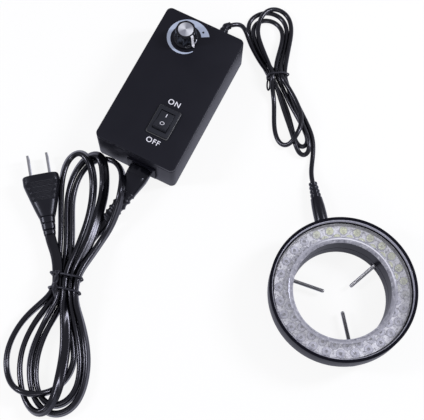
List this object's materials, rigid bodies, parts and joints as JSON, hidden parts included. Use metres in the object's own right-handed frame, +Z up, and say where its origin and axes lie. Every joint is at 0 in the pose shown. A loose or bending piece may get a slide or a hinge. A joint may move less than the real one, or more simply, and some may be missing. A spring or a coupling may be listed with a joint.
{
  "type": "microscope ring light",
  "caption": "Lamp ring that clamps round a microscope lens with thumbscrews, with a dimmer box, a plug-in low-voltage lead and a detachable mains lead, both wound up.",
  "frame": {"origin": "under the middle of the ring head and the control box together, on the surface they stand on", "axes": "+Z up; the control box stands at -X, +Y and the ring head at +X, -Y, as they lie in the picture seen from above"},
  "size_m": [0.2586, 0.2956, 0.0435],
  "materials": {
    "black_plastic": "fine moulded texture",
    "clear_plastic": "polished clear plastic",
    "lamp_board": "pale board with clear lamps",
    "steel": "nickel plated",
    "dark_steel": "darkened steel",
    "brass": "plain turned brass",
    "gloss_plastic": "smooth glossy black",
    "knob_plastic": "satin moulded plastic",
    "spun_aluminium": "spun face",
    "soft_plastic": "soft moulded plastic",
    "circuit_board": "lacquered board",
    "winding_tape": "tape wound over wire",
    "mains_cord": "glossy flexible sheath",
    "lamp_cord": "satin flexible sheath",
    "tie_wire": "plastic coated wire"
  },
  "bodies": {
    "body": {"ring_tray_housing": "black_plastic", "mounting_collar": "black_plastic", "lamp_cover": "clear_plastic", "lamp_board": "lamp_board", "lamp_socket": "steel", "threaded_bush_1": "brass", "threaded_bush_2": "brass", "threaded_bush_3": "brass", "box_tray": "black_plastic", "box_lid": "black_plastic", "box_screw_1": "dark_steel", "box_screw_2": "dark_steel", "box_screw_3": "dark_steel", "box_screw_4": "dark_steel", "switch_body": "gloss_plastic", "switch_terminal_1": "brass", "switch_terminal_2": "brass", "dimmer_potentiometer": "steel", "dimmer_nut": "steel", "mains_inlet": "gloss_plastic", "mains_inlet_pin_1": "steel", "mains_inlet_pin_2": "steel", "lamp_lead_gland": "soft_plastic", "circuit_board": "circuit_board", "transformer": "winding_tape", "bulk_capacitor": "gloss_plastic", "heatsink": "spun_aluminium", "mains_connector": "soft_plastic", "connector_strain_relief": "soft_plastic", "mains_plug_body": "soft_plastic", "mains_plug_blade_1": "brass", "mains_plug_blade_2": "brass", "lamp_plug_body": "soft_plastic", "lamp_plug_barrel": "steel", "mains_lead_hank": "mains_cord", "lamp_lead_hank": "lamp_cord", "mains_lead_tie": "tie_wire", "lamp_lead_tie": "tie_wire", "mains_lead_plug_run": "mains_cord", "mains_lead_connector_run": "mains_cord", "lamp_lead_gland_run": "lamp_cord", "lamp_lead_plug_run": "lamp_cord"},
    "rocker": {"switch_rocker": "gloss_plastic"},
    "knob": {"dimmer_knob": "knob_plastic", "dimmer_knob_cap": "spun_aluminium", "dimmer_shaft": "steel"},
    "screw_1": {"thumbscrew_1": "dark_steel"},
    "screw_2": {"thumbscrew_2": "dark_steel"},
    "screw_3": {"thumbscrew_3": "dark_steel"}
  },
  "joints": [
    {"name": "power_rocker", "type": "hinge", "parent": "body", "child": "rocker", "pos_m": [-0.06211, 0.03273, 0.03], "axis": [0.9191, -0.3939, 0], "range_deg": [0, 21.4]},
    {"name": "dimmer_turn", "type": "hinge", "parent": "body", "child": "knob", "pos_m": [-0.05179, 0.09489, 0.03], "axis": [0, 0, -1], "range_deg": [0, 300]},
    {"name": "screw_1_slide", "type": "slide", "parent": "body", "child": "screw_1", "axis": [0.7193, 0.6947, 0], "range_m": [0, 0.02]},
    {"name": "screw_2_slide", "type": "slide", "parent": "body", "child": "screw_2", "axis": [-0.9613, 0.2756, 0], "range_m": [0, 0.02]},
    {"name": "screw_3_slide", "type": "slide", "parent": "body", "child": "screw_3", "axis": [0.2419, -0.9703, 0], "range_m": [0, 0.02]}
  ]
}
